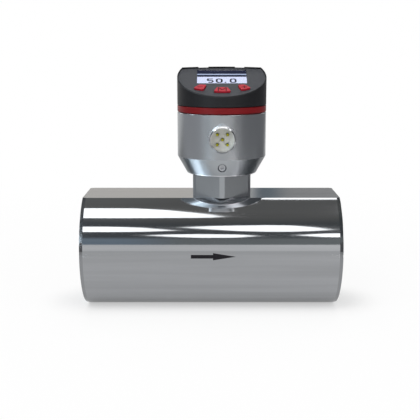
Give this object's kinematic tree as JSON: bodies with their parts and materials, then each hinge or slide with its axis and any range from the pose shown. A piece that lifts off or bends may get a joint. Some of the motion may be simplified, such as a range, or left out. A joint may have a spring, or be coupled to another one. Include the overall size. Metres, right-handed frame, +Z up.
{
  "type": "turbine flow meter",
  "caption": "In-line turbine flow meter: polished steel tube with threaded ports, bladed rotor, hexagon neck and a turnable round head with slanted display, keys and plug inlet.",
  "frame": {"origin": "middle of the inlet port's mouth, on the flow axis", "axes": "+X along the flow from inlet to outlet, +Z up to the head, display and plug inlet towards -Y"},
  "size_m": [0.105, 0.05, 0.0993],
  "materials": {
    "polished_steel": "mirror polished",
    "satin_steel": "satin",
    "spring_steel": "plain",
    "support_steel": "turned and milled",
    "rotor_steel": "milled",
    "bearing_bronze": "sintered",
    "seal_rubber": "moulded",
    "pickup_plastic": "moulded",
    "coil_copper": "enamelled wire",
    "magnet_iron": "ground",
    "plated_shell": "plated",
    "insert_grey": "moulded",
    "pin_gold": "gold plated",
    "board_green": "lacquered",
    "trim_red": "moulded",
    "cap_black": "moulded",
    "plate_grey": "fine texture",
    "window_clear": "clear",
    "screen": "lit display",
    "backlight_white": "moulded",
    "key_red": "moulded"
  },
  "bodies": {
    "meter": {"meter_body": "polished_steel", "inlet_support": "support_steel", "outlet_support": "support_steel", "inlet_bearing": "bearing_bronze", "outlet_bearing": "bearing_bronze", "inlet_retainer": "spring_steel", "outlet_retainer": "spring_steel", "neck": "satin_steel", "neck_seal": "seal_rubber", "pickup_bobbin": "pickup_plastic", "pickup_coil": "coil_copper", "pickup_core": "magnet_iron", "pickup_magnet": "magnet_iron", "pickup_plug": "pickup_plastic", "swivel_seal": "seal_rubber", "swivel_circlip": "spring_steel"},
    "rotor": {"rotor": "rotor_steel", "rotor_shaft": "spring_steel"},
    "head": {"housing": "satin_steel", "lock_screw": "satin_steel", "connector_shell": "plated_shell", "connector_insert": "insert_grey", "connector_pins": "pin_gold", "connector_nut": "plated_shell", "connector_seal": "seal_rubber", "main_board": "board_green", "main_board_spacers": "pickup_plastic", "main_board_screws": "spring_steel", "trim_ring": "trim_red", "cap_retainer": "spring_steel"},
    "display": {"display_cap": "cap_black", "cap_seal": "seal_rubber", "face_plate": "plate_grey", "display_window": "window_clear", "display_panel": "screen", "display_backlight": "backlight_white", "display_board": "board_green", "display_board_screws": "spring_steel", "key_domes": "spring_steel"},
    "minus_key": {"minus_button": "key_red"},
    "mode_key": {"mode_button": "key_red"},
    "plus_key": {"plus_button": "key_red"}
  },
  "joints": [
    {"name": "rotor_spin", "type": "hinge", "parent": "meter", "child": "rotor", "pos_m": [0.05685, 0, 0], "axis": [1, 0, 0], "continuous": true},
    {"name": "head_swivel", "type": "hinge", "parent": "meter", "child": "head", "pos_m": [0.05685, 0, 0.03], "axis": [0, 0, 1], "range_deg": [-165, 165]},
    {"name": "display_turn", "type": "hinge", "parent": "head", "child": "display", "pos_m": [0.05685, 0, 0.0565], "axis": [0, 0, 1], "range_deg": [-165, 165]},
    {"name": "minus_press", "type": "slide", "parent": "display", "child": "minus_key", "axis": [0, 0.3827, -0.9239], "range_m": [0, 0.0006], "stiffness_N_per_m": 2500},
    {"name": "mode_press", "type": "slide", "parent": "display", "child": "mode_key", "axis": [0, 0.3827, -0.9239], "range_m": [0, 0.0006], "stiffness_N_per_m": 2500},
    {"name": "plus_press", "type": "slide", "parent": "display", "child": "plus_key", "axis": [0, 0.3827, -0.9239], "range_m": [0, 0.0006], "stiffness_N_per_m": 2500}
  ]
}
